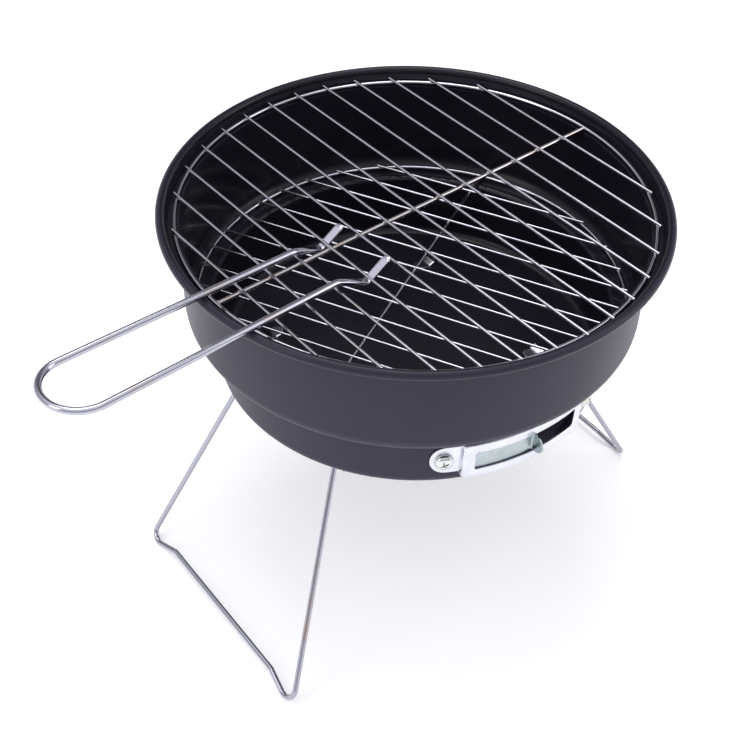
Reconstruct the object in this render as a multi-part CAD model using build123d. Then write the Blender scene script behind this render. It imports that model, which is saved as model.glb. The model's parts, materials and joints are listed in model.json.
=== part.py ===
from build123d import *
import math
import os

# Portable tabletop charcoal grill.  Millimetres, +Z up, table at z = 0.
# The bowl's axis is the Z axis.  The legs stand at -X and +X, the grate
# handle reaches out towards -X and the air vent faces about -Y.

# ---- bowl -----------------------------------------------------------------
SHEET = 0.8                  # steel sheet of the bowl
RIM_Z = 220.0                # height of the middle of the rolled rim
RIM_RADIUS = 130.0           # outside of the rolled rim
BEAD_RADIUS = 2.4            # half the thickness of the rolled rim
LEDGE_Z = RIM_Z - 5.4        # top of the ledge that carries the cooking grate
FLARE_RADIUS = 124.2         # outer edge of the ledge
WALL_RADIUS = 119.4          # outside of the upright wall
SHOULDER_Z = RIM_Z - 59.3    # underside of the shoulder below the wall
SHOULDER_CORNER = 8.5        # rounding between wall and shoulder
BAND_RADIUS = 105.5          # outside of the lower band, at the shoulder
BAND_CORNER = 1.6            # rounding between shoulder and band
BASE_RADIUS = 104.0          # outside of the lower band, at the floor
BASE_CORNER = 6.0            # rounding between band and floor
BASE_Z = RIM_Z - 96.4        # underside of the bowl's floor

# ---- air vent -------------------------------------------------------------
VENT_AZIMUTH = -95.0         # degrees from +X
VENT_Z = RIM_Z - 77.8        # height of the vent's middle line
VENT_HEIGHT = 23.2           # along the slope of the band
VENT_HALF_ANGLE = 19.6       # half the length of the raised frame
VENT_DEPTH = 4.4             # how far the frame stands off the band
VENT_SHEET = 1.0
WINDOW_HEIGHT = 12.2
WINDOW_HALF_ANGLE = 15.8
TAB_HEIGHT = 18.0             # screw tabs at the two ends of the frame
TAB_REACH = 7.2              # from the screw to the end of its tab
TAB_CORNER = 7.5
TAB_LIFT = 0.02              # the tabs stand a hair off the frame's lower edge
SCREW_ANGLE = 24.0           # screws either side of the vent's middle
SCREW_RADIUS = 2.4
SCREW_HOLE_RADIUS = 2.7
SCREW_HEAD_RADIUS = 4.75
SCREW_HEAD_HEIGHT = 3.1
SCREW_SHANK = 9.0
RECESS_LENGTH = 5.4          # cross recess of the screw
RECESS_WIDTH = 1.1
RECESS_DEPTH = 1.7
NUT_ACROSS_CORNERS = 9.2
NUT_HEIGHT = 3.6
AIR_SLOT_HEIGHT = 10.0
AIR_SLOT_ANGLES = (2.6, 14.6)
SLIDER_HEIGHT = 17.0
SLIDER_ANGLES = (-16.8, 1.6)
SLIDER_OFFSET = 2.2          # gap between the band and the slider plate
SLIDER_SHEET = 0.9
SLIDER_TAB_RADIUS = 5.6
SLIDER_TAB_MIDDLE = 4.8      # from the band to the middle of the tab's round end
SLIDER_TAB_ANGLE = 0.5       # thickness of the finger tab
VENT_GAP = 0.1               # paint between the frame and the band

# ---- cooking grate --------------------------------------------------------
GRATE_Z = RIM_Z - 4.0        # middle of the cooking grate's ring
GRATE_RING_RADIUS = 121.0
GRATE_RING_WIRE = 1.0        # wire radii
GRATE_BAR_WIRE = 0.8
GRATE_SPINE_WIRE = 1.15
GRATE_BARS = 13
GRATE_PITCH = 17.5
GRATE_SHIFT = -2.2           # the row of bars sits nearer the handle
GRATE_OVERHANG = 2.4         # bars run past the middle of the ring
GRATE_TURN = 2.4             # degrees, spine against +X
WELD = 0.2                   # how far welded wires sink into each other

# ---- charcoal grate -------------------------------------------------------
COAL_Z = RIM_Z - 56.6
COAL_RING_RADIUS = 113.4
COAL_RING_WIRE = 1.0
COAL_BAR_WIRE = 0.7
COAL_SPINE_WIRE = 0.8
COAL_BARS = 13
COAL_PITCH = 15.75
COAL_OVERHANG = 0.9
COAL_SPINE_SHIFT = 5.0       # the spine is welded off the middle
COAL_TURN = 28.3             # degrees, spine against +X

# ---- grate handle ---------------------------------------------------------
HANDLE_WIRE = 1.8
HANDLE_BAR = 3               # the bar that the handle hooks under
HANDLE_SIDE = -11.3          # middle of the handle to the side of the spine
HANDLE_YAW = -3.9            # degrees, handle against the spine
HANDLE_LENGTH = 166.0        # from the hooked bar to the end of the loop
HANDLE_END_WIDTH = 35.4      # between the arms at the loop
HANDLE_BEND_WIDTH = 31.0     # between the arms where they bend down
HANDLE_HOOK_WIDTH = 33.6     # between the hooks
HANDLE_BEND_X = -18.4        # places along the handle, from the hooked bar
HANDLE_BEND_Z = 4.25
HANDLE_SLOPE = 0.060         # the arms rise outwards to clear the rim
HOOK_DIP_X = -0.8            # lowest point of the hook, just before the bar
HOOK_DIP = -3.8              # its height, which clears the bar from below
HOOK_TIP_X = 13.2
HOOK_TIP_Z = 3.8
HOOK_STRIP_WIDTH = 4.4       # the hooks are hammered flat
HOOK_STRIP_THICKNESS = 2.2

# ---- legs -----------------------------------------------------------------
LEG_WIRE = 1.5
LEG_OFFSET_X = -3.0          # the four leg straps sit a little off centre
LEG_OFFSET_Y = 2.5
PIVOT_X = 72.0               # hinge line of each leg from the legs' middle
ARM_HALF_WIDTH = 39.5        # arms at the hinge line
PIN_END_Y = 55.5             # end of the hinge pin part of the wire
STOP_TAIL = 8.0              # bent end that rests against the floor
STOP_RISE = 1.8
FOOT_X = 137.8               # corner of the wire at the foot
FOOT_HALF_WIDTH = 74.0
FOOT_LEAN = 15.0             # the two feet sit to one side of the arms
FOOT_LENGTH = 24.0           # from the corner to the raised crossbar
CROSSBAR_RISE = 8.0
FOOT_DROP = -2.548           # the rounded foot ends above its sharp corner
FOOT_BEND = 6.0              # bend radii
PIN_BEND = 2.6

# ---- leg straps -----------------------------------------------------------
STRAP_SHEET = 0.9
STRAP_WIDTH = 8.0
STRAP_Y = 48.0
STRAP_TONGUE_X = 54.0        # where the strap passes up through the floor
STRAP_GAP = 0.1
PIN_CLEARANCE = 0.05
EYE_RADIUS = LEG_WIRE + PIN_CLEARANCE + STRAP_SHEET
EYE_DROP = 1.2               # lets a folded leg pass under the straps
PIVOT_Z = BASE_Z - STRAP_GAP - EYE_RADIUS - EYE_DROP
SLOT_CLEARANCE = 0.3
TAB_IN_LENGTH = 8.0
TAB_OUT_LENGTH = 5.0

os.makedirs("parts", exist_ok=True)


def save(shape, name):
    """Write one sub-part."""
    shape.label = name
    export_step(shape, f"parts/{name}.step")


def along(start, end, share):
    """Point part of the way from start to end."""
    return tuple(a + (b - a) * share for a, b in zip(start, end))


def rod(points, bends, radius):
    """Round wire through the points, with one bend radius per corner."""
    path = FilletPolyline(*points, radius=bends)
    return sweep(Plane(path @ 0, z_dir=path % 0) * Circle(radius), path=path)


def straight_rod(start, end, radius):
    """Straight round wire."""
    path = Line(start, end)
    return sweep(Plane(path @ 0, z_dir=path % 0) * Circle(radius), path=path)


def wire_ring(radius, z, wire):
    """Closed ring of round wire."""
    return Pos(0, 0, z) * Torus(radius, wire)


# ---- bowl -----------------------------------------------------------------
def bowl_side(inset, top_points):
    """Half section of everything inside one face of the bowl's sheet."""
    base = (BASE_RADIUS - inset, BASE_Z + inset)
    neck = (BAND_RADIUS - inset, SHOULDER_Z + inset)
    shoulder = (WALL_RADIUS - inset, SHOULDER_Z + inset)
    outline = [(0, base[1]), base, neck, shoulder, *top_points, (0, top_points[-1][1])]
    face = make_face(Polyline(*outline, close=True))
    roundings = [
        (base, BASE_CORNER - inset),
        (neck, BAND_CORNER + inset),
        (shoulder, SHOULDER_CORNER - inset),
    ]
    for place, radius in roundings:
        corner = face.vertices().sort_by_distance(place)[0]
        face = fillet([corner], radius)
    return face


def bowl_body():
    """Bowl: floor, lower band, shoulder, wall, ledge and rolled rim."""
    outer = bowl_side(0, [
        (WALL_RADIUS, LEDGE_Z - SHEET),
        (FLARE_RADIUS + 0.5, LEDGE_Z - SHEET),
        (RIM_RADIUS - 3.2, RIM_Z),
    ])
    inner = bowl_side(SHEET, [
        (WALL_RADIUS - SHEET, LEDGE_Z),
        (FLARE_RADIUS, LEDGE_Z),
        (RIM_RADIUS - 4.2, RIM_Z),
        (RIM_RADIUS - 4.2, RIM_Z + 5),
    ])
    bead = Pos(RIM_RADIUS - BEAD_RADIUS, RIM_Z) * Circle(BEAD_RADIUS)
    body = revolve(Plane.XZ * (outer - inner + bead), Axis.Z)
    body -= vent_band(-3, 3, AIR_SLOT_HEIGHT, *AIR_SLOT_ANGLES)
    for side in (-1, 1):
        body -= vent_place(side * SCREW_ANGLE) * Cylinder(SCREW_HOLE_RADIUS, 8)
    for place in strap_places():
        body -= place * strap_slot()
    return body


# ---- air vent -------------------------------------------------------------
BAND_SLOPE = math.degrees(math.atan2(BAND_RADIUS - BASE_RADIUS, SHOULDER_Z - BASE_Z))
VENT_RADIUS = BASE_RADIUS + (VENT_Z - BASE_Z) * math.tan(math.radians(BAND_SLOPE))


def vent_place(angle):
    """Place on the band: local Z points out of it, local Y up the slope."""
    turn = Rot(0, 0, VENT_AZIMUTH + angle)
    return turn * Pos(VENT_RADIUS, 0, VENT_Z) * Rot(0, 90 + BAND_SLOPE, 0) * Rot(0, 0, 90)


def vent_band(low, high, height, start, end):
    """Patch that follows the band, from low to high above its surface."""
    centre = Vector(VENT_RADIUS, VENT_Z)
    slope = math.radians(BAND_SLOPE)
    out = Vector(math.cos(slope), -math.sin(slope))
    up = Vector(math.sin(slope), math.cos(slope))
    corners = [
        centre + out * n + up * s
        for n, s in ((low, -height / 2), (high, -height / 2), (high, height / 2), (low, height / 2))
    ]
    face = Plane.XZ * make_face(Polyline(*corners, close=True))
    patch = revolve(face, Axis.Z, revolution_arc=end - start)
    return Rot(0, 0, VENT_AZIMUTH + start) * patch


def vent_frame():
    """Pressed frame with a window and a screw tab at each end."""
    half = VENT_HALF_ANGLE
    wall_angle = math.degrees(VENT_SHEET / VENT_RADIUS)
    frame = vent_band(VENT_GAP, VENT_DEPTH, VENT_HEIGHT, -half, half)
    frame -= vent_band(-1, VENT_DEPTH - VENT_SHEET, VENT_HEIGHT - 2 * VENT_SHEET,
                       -half + wall_angle, half - wall_angle)
    frame -= vent_band(0, VENT_DEPTH + 1, WINDOW_HEIGHT, -WINDOW_HALF_ANGLE, WINDOW_HALF_ANGLE)
    tabs = [vent_tab(side, half - wall_angle) for side in (1, -1)]
    holes = [vent_place(side * SCREW_ANGLE) * Cylinder(SCREW_HOLE_RADIUS, 8) for side in (1, -1)]
    return frame + tabs - holes


def vent_tab(side, reach):
    """Flat screw tab with rounded corners, from the end wall of the frame outwards."""
    start, end = sorted((side * reach, side * (SCREW_ANGLE + 6)))
    strip = vent_band(VENT_GAP + TAB_LIFT, VENT_GAP + VENT_SHEET, TAB_HEIGHT, start, end)
    length = 30.0
    outline = extrude(RectangleRounded(length, TAB_HEIGHT, TAB_CORNER), 8)
    middle = side * (TAB_REACH - length / 2)
    return strip & (vent_place(side * SCREW_ANGLE) * Pos(middle, 0, -3) * outline)


def vent_slider():
    """Sliding damper plate with a half-round finger tab."""
    start, end = SLIDER_ANGLES
    plate = vent_band(SLIDER_OFFSET, SLIDER_OFFSET + SLIDER_SHEET, SLIDER_HEIGHT, start, end)
    tab = vent_band(SLIDER_OFFSET, SLIDER_TAB_MIDDLE + SLIDER_TAB_RADIUS + 1,
                    2 * SLIDER_TAB_RADIUS, end - SLIDER_TAB_ANGLE, end)
    outline = Pos(-SLIDER_TAB_MIDDLE, 0) * SlotCenterToCenter(
        2 * SLIDER_TAB_MIDDLE, 2 * SLIDER_TAB_RADIUS)
    profile = vent_place(end) * Rot(0, 90, 0) * Pos(0, 0, -6) * extrude(outline, 12)
    return plate + (tab & profile)


def vent_screw(angle):
    """Pan-head screw with a cross recess."""
    seat = VENT_GAP + VENT_SHEET + 0.25
    head = Pos(0, 0, seat + SCREW_HEAD_HEIGHT / 2) * Cylinder(SCREW_HEAD_RADIUS, SCREW_HEAD_HEIGHT)
    top_edge = head.edges().group_by(Axis.Z)[-1]
    head = fillet(top_edge, SCREW_HEAD_HEIGHT * 0.75)
    shank = Pos(0, 0, seat + 0.1 - SCREW_SHANK / 2) * Cylinder(SCREW_RADIUS, SCREW_SHANK)
    screw = head + shank
    for turn in (20, 110):
        blade = Box(RECESS_LENGTH, RECESS_WIDTH, 2 * RECESS_DEPTH)
        screw -= Pos(0, 0, seat + SCREW_HEAD_HEIGHT) * Rot(0, 0, turn) * blade
    return vent_place(angle) * screw


def vent_nut(angle):
    """Hexagon nut inside the bowl."""
    nut = extrude(RegularPolygon(NUT_ACROSS_CORNERS / 2, 6), NUT_HEIGHT)
    nut -= Cylinder(SCREW_RADIUS + 0.05, 20)
    return vent_place(angle) * Pos(0, 0, -SHEET - NUT_HEIGHT - 0.35) * nut


# ---- grates ---------------------------------------------------------------
def grate_bars(count, pitch, shift, ring_radius, overhang, z, wire, turn):
    """Row of parallel bars across a ring, at right angles to the spine."""
    bars = []
    for index in range(count):
        x = (index - (count - 1) / 2) * pitch + shift
        half = math.sqrt(ring_radius ** 2 - x ** 2) + overhang
        bars.append(straight_rod((x, -half, z), (x, half, z), wire))
    return Rot(0, 0, turn) * Compound(children=bars)


def grate_spine(radius, shift, z, wire, turn):
    """Bar under the others, from one side of the ring to the other."""
    half = math.sqrt(radius ** 2 - shift ** 2)
    return Rot(0, 0, turn) * straight_rod((-half, shift, z), (half, shift, z), wire)


GRATE_BAR_Z = GRATE_Z + GRATE_RING_WIRE + GRATE_BAR_WIRE - WELD
COAL_BAR_Z = COAL_Z + COAL_RING_WIRE + COAL_BAR_WIRE - WELD


def cooking_bars():
    return grate_bars(GRATE_BARS, GRATE_PITCH, GRATE_SHIFT, GRATE_RING_RADIUS,
                      GRATE_OVERHANG, GRATE_BAR_Z, GRATE_BAR_WIRE, GRATE_TURN)


def cooking_spine():
    z = GRATE_BAR_Z - GRATE_BAR_WIRE - GRATE_SPINE_WIRE + WELD
    radius = GRATE_RING_RADIUS - GRATE_RING_WIRE + WELD
    return grate_spine(radius, 0, z, GRATE_SPINE_WIRE, GRATE_TURN)


def charcoal_bars():
    return grate_bars(COAL_BARS, COAL_PITCH, 0, COAL_RING_RADIUS,
                      COAL_OVERHANG, COAL_BAR_Z, COAL_BAR_WIRE, COAL_TURN)


def charcoal_spine():
    z = COAL_BAR_Z - COAL_BAR_WIRE - COAL_SPINE_WIRE + WELD
    radius = COAL_RING_RADIUS - COAL_RING_WIRE + WELD
    return grate_spine(radius, COAL_SPINE_SHIFT, z, COAL_SPINE_WIRE, COAL_TURN)


# ---- grate handle ---------------------------------------------------------
def handle_arm_point(x, width, side):
    """Point on the straight part of an arm; x is negative towards the loop."""
    return (x, side * width / 2, HANDLE_BEND_Z + (HANDLE_BEND_X - x) * HANDLE_SLOPE)


def hook_points(side):
    """Middle line of one hook: down from the arm, under the bar and up."""
    bend = handle_arm_point(HANDLE_BEND_X, HANDLE_BEND_WIDTH, side)
    dip = (HOOK_DIP_X, side * HANDLE_HOOK_WIDTH / 2, HOOK_DIP)
    tip = (HOOK_TIP_X, side * HANDLE_HOOK_WIDTH / 2, HOOK_TIP_Z)
    return bend, dip, tip


def hook_strip(side):
    """Hammered end of the wire, bent in its own plane."""
    bend, dip, tip = hook_points(side)
    start = along(bend, dip, 0.50)
    flat = [(point[0], dip[1], point[2]) for point in (start, dip, tip)]
    path = FilletPolyline(*flat, radius=3.2)
    section = Plane(path @ 0, x_dir=(0, 1, 0), z_dir=path % 0) * RectangleRounded(
        HOOK_STRIP_WIDTH, HOOK_STRIP_THICKNESS, HOOK_STRIP_THICKNESS * 0.45)
    return sweep(section, path=path)


def grate_handle():
    """Loop of wire with two hooks that reach under one bar of the grate."""
    bend_a, dip_a, _ = hook_points(1)
    bend_b, dip_b, _ = hook_points(-1)
    loop_a = handle_arm_point(-HANDLE_LENGTH, HANDLE_END_WIDTH, 1)
    loop_b = handle_arm_point(-HANDLE_LENGTH, HANDLE_END_WIDTH, -1)
    points = [along(bend_a, dip_a, 0.66), bend_a, loop_a, loop_b, bend_b, along(bend_b, dip_b, 0.66)]
    loop_bend = HANDLE_END_WIDTH / 2 - 0.6
    handle = rod(points, [7.0, loop_bend, loop_bend, 7.0], HANDLE_WIRE)
    for side in (-1, 1):
        handle += hook_strip(side)
    return handle_place() * handle


def handle_place():
    """Middle of the handle on the bar that it hooks under."""
    bar_x = (HANDLE_BAR - (GRATE_BARS - 1) / 2) * GRATE_PITCH + GRATE_SHIFT
    turn = Rot(0, 0, GRATE_TURN)
    return turn * Pos(bar_x, HANDLE_SIDE, GRATE_BAR_Z) * Rot(0, 0, -HANDLE_YAW)


# ---- legs -----------------------------------------------------------------
def leg_side_points(side):
    """Corners of one side of the +X leg, from the stop tail to the crossbar."""
    lean = FOOT_LEAN
    foot_z = LEG_WIRE + FOOT_DROP
    hinge = (PIVOT_X, side * ARM_HALF_WIDTH, PIVOT_Z)
    foot = (FOOT_X, side * FOOT_HALF_WIDTH + lean, foot_z)
    middle_top = (PIVOT_X, 0.0, PIVOT_Z)
    middle_foot = (FOOT_X, lean, foot_z)
    rise = CROSSBAR_RISE / math.dist(middle_top, middle_foot)
    kink_flat = (FOOT_X, side * (FOOT_HALF_WIDTH - FOOT_LENGTH) + lean, foot_z)
    kink = tuple(k + (t - f) * rise for k, t, f in zip(kink_flat, middle_top, middle_foot))
    return [
        (PIVOT_X + STOP_TAIL, side * PIN_END_Y, PIVOT_Z + STOP_RISE),
        (PIVOT_X, side * PIN_END_Y, PIVOT_Z),
        hinge,
        foot,
        kink,
    ]


def leg():
    """Leg on the +X side, bent from one wire."""
    points = leg_side_points(-1) + leg_side_points(1)[::-1]
    side_bends = [PIN_BEND, PIN_BEND, FOOT_BEND, FOOT_BEND]
    return rod(points, side_bends + side_bends[::-1], LEG_WIRE)


def leg_frame(turn):
    """Both legs are the same wire, turned half round about the middle."""
    return Pos(LEG_OFFSET_X, LEG_OFFSET_Y, 0) * Rot(0, 0, turn)


# ---- leg straps -----------------------------------------------------------
def strap_places():
    """The four straps: two on each leg's hinge line."""
    places = []
    for turn in (0, 180):
        for side in (-1, 1):
            places.append(leg_frame(turn) * Pos(0, side * STRAP_Y, 0))
    return places


def strap_slot():
    """Slot in the bowl's floor for the doubled strap."""
    return Pos(STRAP_TONGUE_X, 0, BASE_Z) * Box(
        2 * STRAP_SHEET + 2 * SLOT_CLEARANCE, STRAP_WIDTH + 2 * SLOT_CLEARANCE, 6)


def upright(x0, x1, z0, z1):
    """Bar of strap, as wide as the strap, between two corners seen from the side."""
    return Pos((x0 + x1) / 2, 0, (z0 + z1) / 2) * Box(x1 - x0, STRAP_WIDTH, z1 - z0)


def leg_strap():
    """Strap folded round the hinge pin, with its two ends spread on the floor."""
    top = BASE_Z - STRAP_GAP
    inside = BASE_Z + SHEET + STRAP_GAP
    left = STRAP_TONGUE_X - STRAP_SHEET
    right = STRAP_TONGUE_X + STRAP_SHEET
    across = Rot(90, 0, 0)
    eye = Pos(PIVOT_X, 0, PIVOT_Z) * across * Cylinder(EYE_RADIUS, STRAP_WIDTH)
    strap = eye + upright(left, PIVOT_X, top - 2 * STRAP_SHEET, top)
    strap += upright(left, right, top - 2 * STRAP_SHEET, inside + STRAP_SHEET)
    strap += upright(STRAP_TONGUE_X, right + TAB_OUT_LENGTH, inside, inside + STRAP_SHEET)
    tab_in = upright(left - TAB_IN_LENGTH, STRAP_TONGUE_X, inside, inside + STRAP_SHEET)
    strap += fillet(tab_in.edges().filter_by(Axis.Z).group_by(Axis.X)[0], STRAP_WIDTH * 0.42)
    bore = Pos(PIVOT_X, 0, PIVOT_Z) * across * Cylinder(LEG_WIRE + PIN_CLEARANCE, STRAP_WIDTH + 2)
    return strap - bore


def main():
    save(bowl_body(), "bowl")
    save(vent_frame(), "vent_frame")
    save(vent_slider(), "vent_slider")
    for name, side in (("left", -1), ("right", 1)):
        save(vent_screw(side * SCREW_ANGLE), f"vent_screw_{name}")
        save(vent_nut(side * SCREW_ANGLE), f"vent_nut_{name}")
    save(wire_ring(GRATE_RING_RADIUS, GRATE_Z, GRATE_RING_WIRE), "cooking_grate_ring")
    save(cooking_bars(), "cooking_grate_bars")
    save(cooking_spine(), "cooking_grate_spine")
    save(wire_ring(COAL_RING_RADIUS, COAL_Z, COAL_RING_WIRE), "charcoal_grate_ring")
    save(charcoal_bars(), "charcoal_grate_bars")
    save(charcoal_spine(), "charcoal_grate_spine")
    save(grate_handle(), "grate_handle")
    save(leg_frame(0) * leg(), "leg_right")
    save(leg_frame(180) * leg(), "leg_left")
    names = ("right_front", "right_back", "left_back", "left_front")
    for name, place in zip(names, strap_places()):
        save(place * leg_strap(), f"leg_strap_{name}")


main()
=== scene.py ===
"""Portable tabletop charcoal grill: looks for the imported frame. Metres, +Z up."""

import json
import math

import bmesh
import bpy
from mathutils import Matrix, Vector, noise


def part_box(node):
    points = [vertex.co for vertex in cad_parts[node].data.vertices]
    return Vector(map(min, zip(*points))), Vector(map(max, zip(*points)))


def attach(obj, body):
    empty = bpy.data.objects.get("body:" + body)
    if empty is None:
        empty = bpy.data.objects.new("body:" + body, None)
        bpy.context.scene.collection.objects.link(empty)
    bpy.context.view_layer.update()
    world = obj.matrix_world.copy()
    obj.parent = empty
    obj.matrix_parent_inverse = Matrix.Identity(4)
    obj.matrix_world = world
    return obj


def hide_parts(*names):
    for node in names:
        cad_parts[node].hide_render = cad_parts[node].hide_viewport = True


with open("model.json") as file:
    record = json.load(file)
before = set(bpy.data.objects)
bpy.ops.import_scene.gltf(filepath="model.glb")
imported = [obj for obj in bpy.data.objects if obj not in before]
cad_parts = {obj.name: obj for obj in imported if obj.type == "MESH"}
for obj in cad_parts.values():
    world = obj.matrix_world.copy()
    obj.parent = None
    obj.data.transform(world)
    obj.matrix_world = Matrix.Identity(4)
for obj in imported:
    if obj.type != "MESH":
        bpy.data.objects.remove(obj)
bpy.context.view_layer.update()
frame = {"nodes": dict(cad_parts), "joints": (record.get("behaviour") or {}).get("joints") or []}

# Sizes below are in millimetres unless a comment says otherwise.
MM = 0.001
RIM_Z = 220.0                     # middle of the rolled rim
BASE_Z = RIM_Z - 96.4             # underside of the bowl's floor
SHEET = 0.9                       # thickness of the slider and the leg straps
LEAST = 0.02                      # half width left at the tip of a rounded end

joints = {joint["name"]: joint for joint in frame["joints"]}


def place_object(name, data):
    """New object, linked to the scene."""
    item = bpy.data.objects.new(name, data)
    bpy.context.scene.collection.objects.link(item)
    return item


# ---- camera -----------------------------------------------------------------
SENSOR = 36.0
LENS = 64.9584
CAMERA_DISTANCE = 556.1           # from the rim's middle, measured along the floor
CAMERA_HEIGHT = 400.85            # above the rim
CAMERA_AZIMUTH = 39.6             # degrees from the grill's own -Y direction
PAN = -0.0332                     # the camera's turns, radians
TILT = 0.7527
ROLL = -0.0232


def make_camera():
    """Camera that looks down on the grill, between its handle and its vent."""
    forward = Vector((
        math.sin(PAN) * math.cos(TILT),
        math.cos(PAN) * math.cos(TILT),
        -math.sin(TILT),
    ))
    level = Vector((math.cos(PAN), -math.sin(PAN), 0))
    lower = forward.cross(level)
    right = math.cos(ROLL) * level + math.sin(ROLL) * lower
    down = -math.sin(ROLL) * level + math.cos(ROLL) * lower
    axes = Matrix((right, -down, -forward)).transposed().to_4x4()
    lift = Matrix.Translation((0, 0, RIM_Z * MM))
    turn = Matrix.Rotation(-math.radians(CAMERA_AZIMUTH), 4, "Z")
    place = Matrix.Translation((0, -CAMERA_DISTANCE * MM, CAMERA_HEIGHT * MM))
    data = bpy.data.cameras.new("camera")
    data.sensor_width = SENSOR
    data.lens = LENS
    data.clip_start = 10 * MM
    camera = place_object("camera", data)
    camera.matrix_world = lift @ turn @ place @ axes
    bpy.context.scene.camera = camera


make_camera()


# ---- node helpers -------------------------------------------------------------
MIX_SOCKETS = {"FLOAT": (2, 3, 0), "RGBA": (6, 7, 2)}  # two inputs and the result


class Nodes:
    """Short calls for building the node tree of a material or a world."""

    def __init__(self, owner):
        owner.use_nodes = True
        self.owner = owner
        self.tree = owner.node_tree

    def add(self, kind, **values):
        """New node; values are its properties, or its sockets by name."""
        node = self.tree.nodes.new(kind)
        for key, value in values.items():
            if hasattr(node, key):
                setattr(node, key, value)
            else:
                node.inputs[key.replace("_", " ").title()].default_value = value
        return node

    def feed(self, value, socket):
        """Links a node's output to a socket, or sets the socket's own value."""
        if isinstance(value, bpy.types.NodeSocket):
            self.tree.links.new(value, socket)
        else:
            socket.default_value = value

    def place(self):
        """Object coordinates, so that the pattern moves with its piece."""
        return self.add("ShaderNodeTexCoord").outputs["Object"]

    def noise(self, vector, scale, detail=3.0, roughness=0.5):
        """Noise pattern, 0 to 1."""
        node = self.add("ShaderNodeTexNoise", scale=scale, detail=detail, roughness=roughness)
        self.feed(vector, node.inputs["Vector"])
        return node.outputs["Fac"]

    def stretch(self, vector, scale):
        """Scales the pattern's axes, for streaks."""
        node = self.add("ShaderNodeMapping", scale=scale)
        self.feed(vector, node.inputs["Vector"])
        return node.outputs["Vector"]

    def height(self, vector):
        """Z of a vector."""
        node = self.add("ShaderNodeSeparateXYZ")
        self.feed(vector, node.inputs["Vector"])
        return node.outputs["Z"]

    def ramp(self, value, stops):
        """Colour ramp with (position, colour) stops."""
        node = self.add("ShaderNodeValToRGB")
        elements = node.color_ramp.elements
        for position, _ in stops[2:]:
            elements.new(position)
        for element, (position, colour) in zip(elements, stops):
            element.position = position
            element.color = (*colour, 1.0)
        self.feed(value, node.inputs["Fac"])
        return node.outputs["Color"]

    def spread(self, value, low, high, start=0.3, end=0.7, curve="LINEAR"):
        """Maps start..end of a value onto low..high."""
        node = self.add(
            "ShaderNodeMapRange", interpolation_type=curve,
            from_min=start, from_max=end, to_min=low, to_max=high,
        )
        self.feed(value, node.inputs["Value"])
        return node.outputs["Result"]

    def math(self, operation, first, second):
        """One sum on two numbers or patterns."""
        node = self.add("ShaderNodeMath", operation=operation)
        self.feed(first, node.inputs[0])
        self.feed(second, node.inputs[1])
        return node.outputs["Value"]

    def vector_math(self, operation, first, second):
        """One sum on two vectors; a dot product gives a number."""
        node = self.add("ShaderNodeVectorMath", operation=operation)
        self.feed(first, node.inputs[0])
        self.feed(second, node.inputs[1])
        return node.outputs["Value" if operation == "DOT_PRODUCT" else "Vector"]

    def mix(self, kind, factor, first, second):
        """Mixes two numbers (FLOAT) or two colours (RGBA) by a pattern."""
        node = self.add("ShaderNodeMix", data_type=kind)
        first_socket, second_socket, result = MIX_SOCKETS[kind]
        self.feed(factor, node.inputs["Factor"])
        self.feed(first, node.inputs[first_socket])
        self.feed(second, node.inputs[second_socket])
        return node.outputs[result]

    def set(self, **values):
        """Links patterns to the shader and sets constants on its own sockets."""
        shader = self.tree.nodes["Principled BSDF"]
        for key, value in values.items():
            name = key.replace("_", " ").title().replace("Ior", "IOR")
            self.feed(value, shader.inputs[name])

    def bump(self, pattern, strength, distance):
        """Relief from a pattern, onto the shader; distance is in metres."""
        node = self.add("ShaderNodeBump", strength=strength, distance=distance)
        self.feed(pattern, node.inputs["Height"])
        self.set(normal=node.outputs["Normal"])


# ---- materials ------------------------------------------------------------------
def bowl_paint():
    """Baked satin paint outside; glossier inside the bowl and on its rim, and darker there with
    painted shade.
    """
    middle_z = (RIM_Z - 3.0) * MM     # outer faces look away from this middle
    rim_z = (RIM_Z - 2.8) * MM        # the rolled rim starts here
    # painted shade: the rim takes this share of the darker inside colour, and of the inside gloss
    rim_painted_shade_and_gloss = 0.4
    n = Nodes(bpy.data.materials.new("bowl_paint"))
    coordinates = n.add("ShaderNodeTexCoord")
    place = coordinates.outputs["Object"]
    from_middle = n.vector_math("SUBTRACT", place, (0, 0, middle_z))
    facing = n.vector_math("DOT_PRODUCT", from_middle, coordinates.outputs["Normal"])
    inner_side = n.math("LESS_THAN", facing, 0.0)
    rim = n.math("MULTIPLY", n.math("GREATER_THAN", n.height(place), rim_z), rim_painted_shade_and_gloss)
    # inside mask: real gloss in the roughness, painted shade in the colour
    inside = n.math("MAXIMUM", inner_side, rim)

    clouds = n.noise(place, 16.0, 4.0)
    grain = n.noise(place, 900.0, 3.0, 0.6)
    outer = n.ramp(clouds, [(0.30, (0.025, 0.022, 0.041)), (0.70, (0.031, 0.028, 0.049))])
    # inside colour: the paint darkened with painted shade
    inner_with_painted_shade = n.ramp(clouds, [(0.30, (0.0085, 0.0082, 0.0140)), (0.70, (0.0125, 0.0120, 0.0190))])
    satin = n.spread(clouds, 0.36, 0.46)
    glossy = n.spread(clouds, 0.20, 0.27)
    outer_grain = n.math("MULTIPLY", grain, n.math("SUBTRACT", 1.0, inside))
    n.set(
        base_color=n.mix("RGBA", inside, outer, inner_with_painted_shade),
        roughness=n.mix("FLOAT", inside, satin, glossy),
        ior=1.45,
        specular_ior_level=0.28,
    )
    n.bump(outer_grain, 0.06, 0.0001)
    return n.owner


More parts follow.
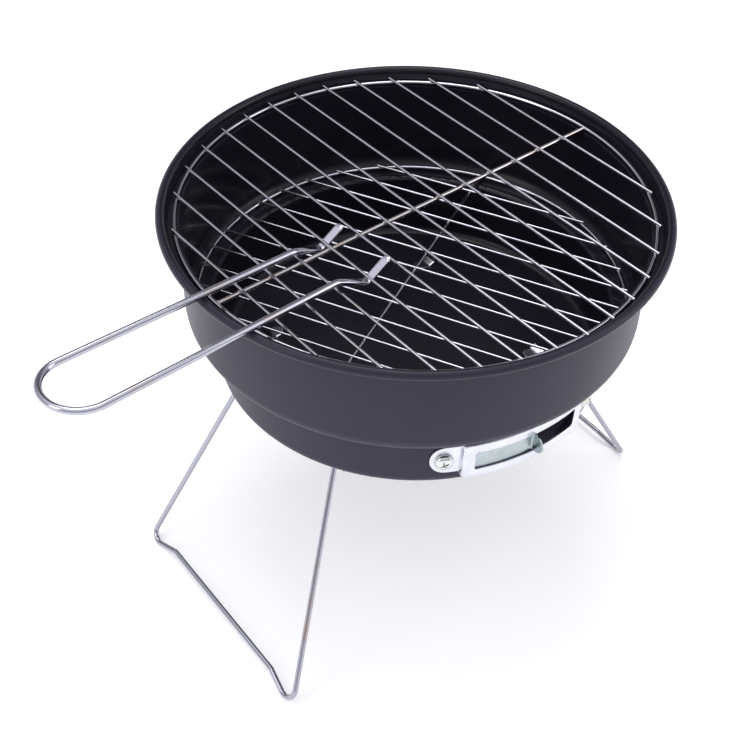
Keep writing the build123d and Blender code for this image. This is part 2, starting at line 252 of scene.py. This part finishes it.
def plated_wire(name, tint, warm, scale):
    """Bright plated wire with faint drawing marks and a slight warm tarnish."""
    n = Nodes(bpy.data.materials.new(name))
    place = n.place()
    tarnish = n.noise(place, scale)
    polish = n.noise(place, 240.0, 2.0)
    colour = n.ramp(tarnish, [(0.35, tint), (0.55, tint), (0.72, warm)])
    n.set(base_color=colour, metallic=1.0, roughness=n.spread(polish, 0.10, 0.14))
    n.bump(n.noise(place, 260.0, 2.0), 0.05, 0.0002)
    return n.owner


def zinc_plate(name, light, dark, smooth=0.20, dull=0.32):
    """Passivated zinc: cloudy sheen with fine rolling marks."""
    n = Nodes(bpy.data.materials.new(name))
    place = n.place()
    clouds = n.noise(place, 85.0, 4.0, 0.6)
    streaks = n.noise(n.stretch(place, (220.0, 220.0, 1600.0)), 1.0, 2.0)
    colour = n.ramp(clouds, [(0.32, dark), (0.68, light)])
    roughness = n.math("ADD", n.spread(clouds, smooth, dull), n.spread(streaks, 0.0, 0.08))
    n.set(base_color=colour, metallic=1.0, roughness=roughness)
    n.bump(streaks, 0.05, 0.0001)
    return n.owner


PAINT = bowl_paint()
CHROME = plated_wire("chrome_wire", (0.55, 0.54, 0.61), (0.53, 0.48, 0.47), 48.0)
LEG_CHROME = plated_wire("leg_wire", (0.42, 0.42, 0.48), (0.42, 0.35, 0.31), 40.0)
HANDLE_CHROME = plated_wire("handle_wire", (0.49, 0.49, 0.56), (0.48, 0.40, 0.36), 36.0)
SPINE_CHROME = plated_wire("spine_wire", (0.58, 0.54, 0.54), (0.46, 0.37, 0.31), 70.0)
ZINC = zinc_plate("zinc_plate", (0.80, 0.80, 0.86), (0.68, 0.69, 0.75))
STRAP_ZINC = zinc_plate("strap_zinc", (0.62, 0.62, 0.66), (0.48, 0.49, 0.53), 0.10, 0.18)
SLIDER_ZINC = zinc_plate("slider_zinc", (0.50, 0.55, 0.56), (0.36, 0.42, 0.43))
WELD_METAL = plated_wire("weld_metal", (0.46, 0.43, 0.44), (0.36, 0.27, 0.21), 300.0)
SCREW = plated_wire("screw_chrome", (0.70, 0.71, 0.70), (0.62, 0.60, 0.54), 120.0)

NODE_FINISHES = {                 # by how a CAD node's name starts; the first match counts
    "bowl": PAINT,
    "cooking_grate_spine": SPINE_CHROME,
    "cooking_grate": CHROME,
    "charcoal_grate": CHROME,
    "grate_handle": HANDLE_CHROME,
    "leg_strap": STRAP_ZINC,
    "leg": LEG_CHROME,
    "vent_slider": SLIDER_ZINC,
    "vent_screw": SCREW,
    "vent": ZINC,
}


def paint_nodes():
    """Gives every CAD node its material."""
    for name, item in frame["nodes"].items():
        start = next(start for start in NODE_FINISHES if name.startswith(start))
        for material_slot in item.material_slots:
            material_slot.material = NODE_FINISHES[start]


paint_nodes()


# ---- mesh helpers ---------------------------------------------------------------
def loft(rings, closed=False):
    """Closed surface through equal rings of points, given in millimetres."""
    mesh = bmesh.new()
    rows = [[mesh.verts.new(point * MM) for point in ring] for ring in rings]
    pairs = list(zip(rows, rows[1:]))
    if closed:
        pairs.append((rows[-1], rows[0]))
    else:
        mesh.faces.new(rows[0][::-1])
        mesh.faces.new(rows[-1])
    for first, second in pairs:
        for index in range(len(first)):
            after = (index + 1) % len(first)
            mesh.faces.new((first[index], first[after], second[after], second[index]))
    bmesh.ops.recalc_face_normals(mesh, faces=mesh.faces)
    return mesh


def heading(path, index):
    """Direction of a path at one of its points."""
    before = path[max(index - 1, 0)]
    after = path[min(index + 1, len(path) - 1)]
    return (after - before).normalized()


def sweep(path, across, outline):
    """Shell along a path. outline(index) gives the section as (across, over) points."""
    rings = []
    for index, point in enumerate(path):
        along = heading(path, index)
        across = (across - along * across.dot(along)).normalized()
        over = along.cross(across)
        rings.append([point + across * a + over * b for a, b in outline(index)])
    return loft(rings)


def soft_outline(width, thickness, power, count=24):
    """Outline between an ellipse, at power 2, and a rectangle."""
    points = []
    for index in range(count):
        angle = 2 * math.pi * (index + 0.5) / count
        x, y = math.cos(angle), math.sin(angle)
        points.append((
            math.copysign(abs(x) ** (2 / power), x) * width / 2,
            math.copysign(abs(y) ** (2 / power), y) * thickness / 2,
        ))
    return points


def rounded_path(corners, bends, spacing):
    """Straight runs joined by arcs, with no two points further apart than spacing."""
    path = [corners[0]]
    for before, corner, after, bend in zip(corners, corners[1:], corners[2:], bends):
        back = (before - corner).normalized()
        ahead = (after - corner).normalized()
        half = back.angle(ahead) / 2
        middle = corner + (back + ahead).normalized() * bend / math.sin(half)
        start = (corner + back * bend / math.tan(half) - middle).normalized()
        end = (corner + ahead * bend / math.tan(half) - middle).normalized()
        count = max(3, math.ceil(math.degrees(math.pi - 2 * half) / 10))
        path += [middle + start.slerp(end, step / count) * bend for step in range(count + 1)]
    path.append(corners[-1])
    finer = [path[0]]
    for start, end in zip(path, path[1:]):
        count = max(1, math.ceil((end - start).length / spacing))
        finer += [start.lerp(end, (step + 1) / count) for step in range(count)]
    return finer


def distances(path):
    """Length along the path at each of its points."""
    total = [0.0]
    for start, end in zip(path, path[1:]):
        total.append(total[-1] + (end - start).length)
    return total


def smooth_step(value, start, end):
    """0 before start and 1 after end, with a soft change between."""
    share = min(max((value - start) / (end - start), 0.0), 1.0)
    return share * share * (3 - 2 * share)


def round_end(left, length, half):
    """Half width of a strip's rounded end, where left of its length remains."""
    return half * math.sqrt(max(1 - (1 - left / length) ** 2, 0.0)) + LEAST


def to_object(name, mesh):
    """Object from a bmesh, linked to the scene."""
    data = bpy.data.meshes.new(name)
    mesh.to_mesh(data)
    mesh.free()
    return place_object(name, data)


def combined(name, first, others, operation):
    """One object from closed shells, joined or cut where they meet."""
    base = to_object(name, first)
    for index, mesh in enumerate(others):
        other = to_object(f"{name}_{index}", mesh)
        step = base.modifiers.new("combine", "BOOLEAN")
        step.operation = operation
        step.solver = "EXACT"
        step.object = other
        bpy.context.view_layer.update()
        graph = bpy.context.evaluated_depsgraph_get()
        joined = bpy.data.meshes.new_from_object(base.evaluated_get(graph))
        base.modifiers.clear()
        base.data = joined
        bpy.data.objects.remove(other)
    return base


def finish_piece(item, body, material, replaced=(), crease=38):
    """Shading, material, body and replaced nodes of one piece."""
    item.data.materials.clear()
    item.data.materials.append(material)
    item.data.shade_smooth()
    item.data.set_sharp_from_angle(angle=math.radians(crease))
    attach(item, body)
    if replaced:
        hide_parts(*replaced)


# ---- air vent -------------------------------------------------------------------
VENT_AZIMUTH = math.radians(-95.0)
VENT_RADIUS = 104.75              # of the bowl's band at the vent
VENT_LEAN = math.radians(2.3)     # the band leans out upwards
VENT_Z = joints["vent_slider_turn"]["pos_m"][2] / MM
FRAME_LOOPS = (                   # half length, half height, corner, distance off the band
    (36.5, 12.3, 2.8, 0.10),
    (36.3, 12.2, 2.7, 0.45),
    (35.6, 11.9, 2.4, 3.20),
    (35.4, 11.8, 2.3, 3.70),
    (35.1, 11.55, 2.1, 4.10),
    (34.7, 11.2, 1.9, 4.33),
    (34.2, 10.8, 1.6, 4.40),
    (29.9, 6.6, 1.4, 4.40),
    (29.5, 6.25, 1.2, 4.33),
    (29.3, 6.1, 1.1, 4.15),
    (29.3, 6.1, 1.1, 3.60),
    (29.6, 6.35, 1.2, 3.45),
    (33.7, 10.3, 1.2, 3.40),
    (34.4, 10.9, 1.5, 3.10),
    (35.3, 11.3, 1.8, 0.10),
)
TAB_START, TAB_END = 35.4, 51.0   # screw tab, along the band from the vent's middle
TAB_ROUND = 8.6                   # length of its nearly round end
TAB_HALF = 9.0                    # half its height
TAB_FACES = (0.14, 1.05)          # its back and front, off the band
SLIDER_START, SLIDER_END = -30.6, 2.4
SLIDER_OUT = 2.65                 # middle of the slider's sheet, off the band
SLIDER_HALF = 8.5                 # half its height
SLIDER_BEND = 1.5
FINGER_TIP = 10.4                 # tip of the finger tab, off the band
FINGER_LEAN = 0.3
FINGER_HALF = 5.6                 # radius of its half-round end
FINGER_NECK = (9.4, 11.2)         # from its tip: here it widens into the plate
SCREW_ARC = 43.9                  # screws either side of the vent's middle
RECESS = ((2.6, 2.0, 0.7), (4.46, 5.0, 1.15), (5.6, 6.6, 1.5))  # height, length, width
RECESS_TURN = 24                  # degrees


def on_band(arc, height, out):
    """Point by its length along the band, height up it and distance off it."""
    angle = VENT_AZIMUTH + arc / VENT_RADIUS
    radius = VENT_RADIUS + out * math.cos(VENT_LEAN) + height * math.sin(VENT_LEAN)
    z = VENT_Z - out * math.sin(VENT_LEAN) + height * math.cos(VENT_LEAN)
    return Vector((radius * math.cos(angle), radius * math.sin(angle), z))


def rounded_rectangle(half_length, half_height, corner, long_steps=30, corner_steps=5):
    """Outline with enough points on its long sides to follow the band."""
    straight = half_length - corner
    rise = half_height - corner
    angles = [math.pi / 2 * step / corner_steps for step in range(corner_steps + 1)]
    points = []
    for side in (-1, 1):
        for step in range(long_steps + 1):
            points.append((-side * straight * (2 * step / long_steps - 1), side * half_height))
        for angle in angles[1:]:
            x = straight + corner * math.sin(angle)
            points.append((-side * x, side * (rise + corner * math.cos(angle))))
        for angle in angles[:-1]:
            x = straight + corner * math.cos(angle)
            points.append((-side * x, -side * (rise + corner * math.sin(angle))))
    return points


def frame_press():
    """Raised frame: drafted walls, rounded edges, flat face and window."""
    rings = []
    for half_length, half_height, corner, out in FRAME_LOOPS:
        outline = rounded_rectangle(half_length, half_height, corner)
        rings.append([on_band(arc, height, out) for arc, height in outline])
    return loft(rings, closed=True)


def frame_tab(side):
    """Flat screw tab with a nearly round end."""
    low, high = TAB_FACES
    middle = (low + high) / 2
    steps = 26
    rings = []
    for step in range(steps + 1):
        arc = TAB_START + (TAB_END - TAB_START) * math.sin(step / steps * math.pi / 2)
        over = max(arc - (TAB_END - TAB_ROUND), 0.0) / TAB_ROUND
        half = TAB_HALF * math.sqrt(max(1 - over ** 2.2, 0.0)) + LEAST
        outline = soft_outline(2 * half, high - low, 7, 20)
        rings.append([on_band(side * arc, height, middle + out) for height, out in outline])
    return loft(rings)


def vent_frame():
    """Pressed frame and its two screw tabs, as one piece."""
    item = combined("vent_frame_press", frame_press(), [frame_tab(-1), frame_tab(1)], "UNION")
    finish_piece(item, "bowl", ZINC, ["vent_frame"])


def vent_slider():
    """Damper plate whose end is bent out into a half-round finger tab."""
    corners = [
        Vector((SLIDER_START, SLIDER_OUT, 0)),
        Vector((SLIDER_END, SLIDER_OUT, 0)),
        Vector((SLIDER_END + FINGER_LEAN, FINGER_TIP, 0)),
    ]
    path = rounded_path(corners, [SLIDER_BEND], 0.9)
    lengths = distances(path)
    rings = []
    for index, point in enumerate(path):
        along = heading(path, index)
        over = Vector((-along.y, along.x, 0))
        left = lengths[-1] - lengths[index]
        if left < FINGER_HALF:
            half = round_end(left, FINGER_HALF, FINGER_HALF)
        else:
            half = FINGER_HALF + (SLIDER_HALF - FINGER_HALF) * smooth_step(left, *FINGER_NECK)
        ring = []
        for height, depth in soft_outline(2 * half, SHEET, 7, 28):
            place = point + over * depth
            ring.append(on_band(place.x, height, place.y))
        rings.append(ring)
    item = to_object("vent_slider_plate", loft(rings))
    finish_piece(item, "vent_slider", SLIDER_ZINC, ["vent_slider"])


def screw_body():
    """Threaded shank and domed head, turned about the screw's own Z axis."""
    core, root, crest = 1.7, 2.0, 2.4
    thread_top, thread_end, pitch = 0.6, -7.4, 0.8
    head_radius, head_seat, head_edge, dome = 4.75, 1.12, 1.7, 2.75
    profile = [(core, thread_end - 0.15)]
    for turn in range(round((thread_top - thread_end) / pitch)):
        z = thread_end + turn * pitch
        profile += [(root, z), (crest, z + 0.3), (crest, z + 0.45), (root, z + 0.75)]
    profile += [(crest, thread_top + 0.1), (crest, head_seat), (head_radius - 0.2, head_seat)]
    profile += [(head_radius, head_seat + 0.2)]
    for step in range(15):
        angle = math.pi / 2 * step / 14.2  # ends just short of the middle
        profile.append((
            head_radius * math.cos(angle) ** 0.78,
            head_edge + dome * math.sin(angle) ** 0.95,
        ))
    around = [2 * math.pi * index / 36 for index in range(36)]
    rings = []
    for radius, z in profile:
        rings.append([Vector((radius * math.cos(a), radius * math.sin(a), z)) for a in around])
    return loft(rings)


def recess_blade(angle):
    """One arm of the cross recess, narrower towards its bottom."""
    rings = []
    for z, length, width in RECESS:
        rings.append([Vector((x, y, z)) for x, y in soft_outline(length, width, 6, 16)])
    blade = loft(rings)
    blade.transform(Matrix.Rotation(math.radians(angle), 4, "Z"))
    return blade


def vent_screw(name, side):
    """Pan-head screw with a cross recess."""
    body = screw_body()
    blades = [recess_blade(RECESS_TURN), recess_blade(RECESS_TURN + 90)]
    origin = on_band(side * SCREW_ARC, 0, 0)
    out = on_band(side * SCREW_ARC, 0, 1) - origin
    up = on_band(side * SCREW_ARC, 1, 0) - origin
    turn = Matrix((up.cross(out), up, out)).transposed().to_4x4()
    place = Matrix.Translation(origin * MM) @ turn
    for mesh in (body, *blades):
        mesh.transform(place)
    item = combined(f"{name}_pan_head", body, blades, "DIFFERENCE")
    finish_piece(item, "bowl", SCREW, [name], 32)


# ---- grate handle -----------------------------------------------------------------
HANDLE_WIRE = 3.6                 # thickness of the round wire
STRIP = (4.6, 2.0)                # width and thickness of the hammered hooks
HANDLE_YAW = math.radians(3.9)    # handle against the grate's spine
HOOK_TIP = (13.3, 16.8, 3.8)      # corners of one side, from the middle of the bar
HOOK_DIP = (-0.8, 16.8, -3.8)     # that it hooks under; this one is below the bar
ARM_BEND = (-18.4, 15.5, 4.25)
ARM_SLOPE = 0.060
LOOP_X = -166.0
LOOP_HALF = 17.7
HANDLE_BENDS = (3.2, 7.0, 17.1)   # radii at the dip, the arm's bend and the loop
FLATTENED = (22.0, 31.0)          # from each end: hammered flat up to here, round after


def grate_handle():
    """One wire: hook, arm, loop, arm and hook, hammered flat at the hooks."""
    bend_x, _, arm_z = ARM_BEND
    loop = (LOOP_X, LOOP_HALF, arm_z + (bend_x - LOOP_X) * ARM_SLOPE)
    side = [Vector(corner) for corner in (HOOK_TIP, HOOK_DIP, ARM_BEND, loop)]
    mirrored = [Vector((point.x, -point.y, point.z)) for point in side[::-1]]
    path = rounded_path(side + mirrored, HANDLE_BENDS + HANDLE_BENDS[::-1], 1.6)
    lengths = distances(path)
    total = lengths[-1]

    def section(index):
        from_end = min(lengths[index], total - lengths[index])
        flat = 1 - smooth_step(from_end, *FLATTENED)
        tip = 1 - 0.35 * (1 - smooth_step(from_end, 0.0, 0.9))
        width = (HANDLE_WIRE + (STRIP[0] - HANDLE_WIRE) * flat) * tip
        thickness = (HANDLE_WIRE + (STRIP[1] - HANDLE_WIRE) * flat) * tip
        return soft_outline(width, thickness, 2 + 2.2 * flat)

    shell = sweep(path, Vector((0, 1, 0)), section)
    joint = joints["grate_handle_tilt"]
    bar = Vector(joint["axis"]).normalized()
    turn = math.atan2(-bar.x, bar.y) + HANDLE_YAW
    shell.transform(Matrix.Translation(joint["pos_m"]) @ Matrix.Rotation(turn, 4, "Z"))
    item = to_object("grate_handle_wire", shell)
    finish_piece(item, "grate_handle", HANDLE_CHROME, ["grate_handle"], 50)


# ---- leg straps -----------------------------------------------------------------
STRAP_WIDTH = 8.0
STRAP_WRAP = 1.5 + 0.06 + SHEET / 2   # pin's radius, gap and half the sheet
STRAP_GAP = 0.1                   # between the strap and the bowl's underside
STRAP_SLOT = -18.0                # slot in the floor, from the hinge pin
STRAP_BEND = 0.55
ROUND_TAB = (6.6, 0.5)            # length and rise of the tab with a rounded end
ROUND_TAB_END = 3.9
SQUARE_TAB = (3.3, 1.3)           # length and rise of the tab at the strip's other end


def strap_corners(pin_z, inside):
    """(x, z) corners: round tab, down the slot, round the pin, back up, square tab."""
    upper = BASE_Z - STRAP_GAP - 0.5 * SHEET
    lower = BASE_Z - STRAP_GAP - 1.5 * SHEET
    down_x = STRAP_SLOT - SHEET / 2
    up_x = STRAP_SLOT + SHEET / 2
    around_pin = [math.radians(angle) for angle in range(190, 446, 15)]
    return [
        (down_x - ROUND_TAB[0], inside + ROUND_TAB[1]),
        (down_x, inside),
        (down_x, lower),
        (-2.9, lower),
        (-STRAP_WRAP, pin_z + 0.5),
        *[(STRAP_WRAP * math.cos(a), pin_z + STRAP_WRAP * math.sin(a)) for a in around_pin],
        (-1.2, pin_z + STRAP_WRAP + 0.05),
        (-7.0, upper),
        (up_x, upper),
        (up_x, inside),
        (up_x + SQUARE_TAB[0], inside + SQUARE_TAB[1]),
    ]


def leg_strap(name, joint, outward):
    """Strip folded round a leg's hinge pin, with both its ends inside the bowl."""
    pin = Vector(joints[joint]["pos_m"]) / MM
    low, high = (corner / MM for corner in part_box(name))
    corners = [Vector((x, 0, z)) for x, z in strap_corners(pin.z, high.z - SHEET / 2)]
    path = rounded_path(corners, [STRAP_BEND] * (len(corners) - 2), 1.0)
    lengths = distances(path)

    def section(index):
        half = STRAP_WIDTH / 2
        if lengths[index] < ROUND_TAB_END:
            half = round_end(lengths[index], ROUND_TAB_END, half)
        return soft_outline(2 * half, SHEET, 7, 20)

    shell = sweep(path, Vector((0, 1, 0)), section)
    turn = Matrix.Rotation(0 if outward > 0 else math.pi, 4, "Z")
    middle = Vector((pin.x, (low.y + high.y) / 2, 0))
    shell.transform(Matrix.Translation(middle * MM) @ turn)
    item = to_object(f"{name}_strip", shell)
    finish_piece(item, "bowl", STRAP_ZINC, [name])


# ---- welds of the two grates ------------------------------------------------------
GRATES = {                        # wires are given by their radius, turns in degrees
    "cooking_grate": {
        "ring_radius": 121.0, "ring_z": RIM_Z - 4.0,
        "ring_wire": 1.0, "bar_wire": 0.8, "spine_wire": 1.15,
        "bars": 13, "pitch": 17.5, "bar_shift": -2.2, "spine_shift": 0.0, "turn": 2.4,
    },
    "charcoal_grate": {
        "ring_radius": 113.4, "ring_z": RIM_Z - 56.6,
        "ring_wire": 1.0, "bar_wire": 0.7, "spine_wire": 0.8,
        "bars": 13, "pitch": 15.75, "bar_shift": 0.0, "spine_shift": 5.0, "turn": 28.3,
    },
}


def weld(target, place, size):
    """Flattened bead of weld metal, slightly uneven."""
    bead = bmesh.ops.create_icosphere(target, subdivisions=2, radius=MM)
    for vertex in bead["verts"]:
        uneven = 1 + 0.16 * noise.noise(vertex.co * 900 + place)
        vertex.co = Vector(a * b for a, b in zip(vertex.co * uneven, size)) + place * MM


def grate_welds(body, grate):
    """Weld beads where the bars cross the ring and the spine, and at the spine's ends."""
    ring, bar, spine = grate["ring_wire"], grate["bar_wire"], grate["spine_wire"]
    radius, shift = grate["ring_radius"], grate["spine_shift"]
    ring_bead = (1.25 * bar, 1.75 * bar, 0.62 * ring)
    cross_bead = (1.75 * bar, 1.55 * bar, 0.75 * bar)
    end_bead = (0.8 * ring, 1.6 * spine, 1.1 * spine)
    bar_z = grate["ring_z"] + ring + bar - 0.2
    mesh = bmesh.new()
    for index in range(grate["bars"]):
        x = (index - (grate["bars"] - 1) / 2) * grate["pitch"] + grate["bar_shift"]
        y = math.sqrt(radius ** 2 - x ** 2)
        for side in (-1, 1):
            weld(mesh, Vector((x, side * y, grate["ring_z"] + ring - 0.1)), ring_bead)
        weld(mesh, Vector((x, shift, bar_z - bar + 0.1)), cross_bead)
    reach = math.sqrt((radius - ring) ** 2 - shift ** 2)
    for side in (-1, 1):
        weld(mesh, Vector((side * reach, shift, bar_z - bar - spine + 0.3)), end_bead)
    mesh.transform(Matrix.Rotation(math.radians(grate["turn"]), 4, "Z"))
    item = to_object(f"{body}_welds", mesh)
    finish_piece(item, body, WELD_METAL)


vent_frame()
vent_slider()
vent_screw("vent_screw_left", -1)
vent_screw("vent_screw_right", 1)
grate_handle()
for end in ("front", "back"):
    leg_strap(f"leg_strap_right_{end}", "leg_right_fold", 1)
    leg_strap(f"leg_strap_left_{end}", "leg_left_fold", -1)
for body_name, grate_sizes in GRATES.items():
    grate_welds(body_name, grate_sizes)


# ---- stage, all in metres ---------------------------------------------------------
FLOOR_HALF = 40.0
LIGHT_TARGET = (0, 0, 0.16)
LIGHTS = (                        # name, place, size, watts, colour
    ("top_light", (0.2, 0.5, 2.1), (1.1, 1.1), 14, (1.0, 1.0, 1.0)),
    ("left_light", (-1.7, 0.1, 1.1), (0.7, 1.2), 6, (0.97, 0.97, 1.0)),
    ("right_light", (1.5, -1.2, 1.0), (0.7, 1.2), 6, (1.0, 1.0, 1.0)),
)
SKY = ((0.0, 0.95), (0.10, 0.85), (0.36, 0.30), (0.75, 1.12))  # brightness by height
SKY_BLUE = 1.06                   # the blue share of that brightness
DARK_SIDE = (0.466, 0.563, 0.682)  # direction of the studio's unlit corner
DARK_EDGE = (0.72, 0.97)          # cosines where the darkening starts and is full
DARK_STRENGTH = 0.25


def floor():
    """Plain pale table top."""
    mesh = bpy.data.meshes.new("floor")
    corners = [(x * FLOOR_HALF, y * FLOOR_HALF, 0) for x, y in ((-1, -1), (1, -1), (1, 1), (-1, 1))]
    mesh.from_pydata(corners, [], [(0, 1, 2, 3)])
    item = place_object("floor", mesh)
    n = Nodes(bpy.data.materials.new("floor"))
    n.set(base_color=(0.93, 0.93, 0.94, 1.0), roughness=0.7)
    n.set(emission_color=(1.0, 1.0, 1.0, 1.0), emission_strength=0.28)
    mesh.materials.append(n.owner)


def softbox(name, place, size, power, colour):
    """Large soft area light that looks at the grill."""
    data = bpy.data.lights.new(name, "AREA")
    data.shape = "RECTANGLE"
    data.size, data.size_y = size
    data.energy = power
    data.color = colour
    item = place_object(name, data)
    item.location = place
    direction = Vector(LIGHT_TARGET) - Vector(place)
    item.rotation_euler = direction.to_track_quat("-Z", "Y").to_euler()


def world_light():
    """White surroundings with a darker belt and one unlit corner."""
    n = Nodes(bpy.data.worlds.new("studio"))
    direction = n.add("ShaderNodeTexCoord").outputs["Generated"]
    stops = [(position, (grey, grey, grey * SKY_BLUE)) for position, grey in SKY]
    towards = n.vector_math("DOT_PRODUCT", direction, DARK_SIDE)
    strength = n.spread(towards, 1.0, DARK_STRENGTH, *DARK_EDGE, curve="SMOOTHSTEP")
    background = n.tree.nodes["Background"]
    n.feed(n.ramp(n.height(direction), stops), background.inputs["Color"])
    n.feed(strength, background.inputs["Strength"])
    bpy.context.scene.world = n.owner


floor()
world_light()
for light in LIGHTS:
    softbox(*light)
bpy.context.scene.view_settings.view_transform = "Standard"
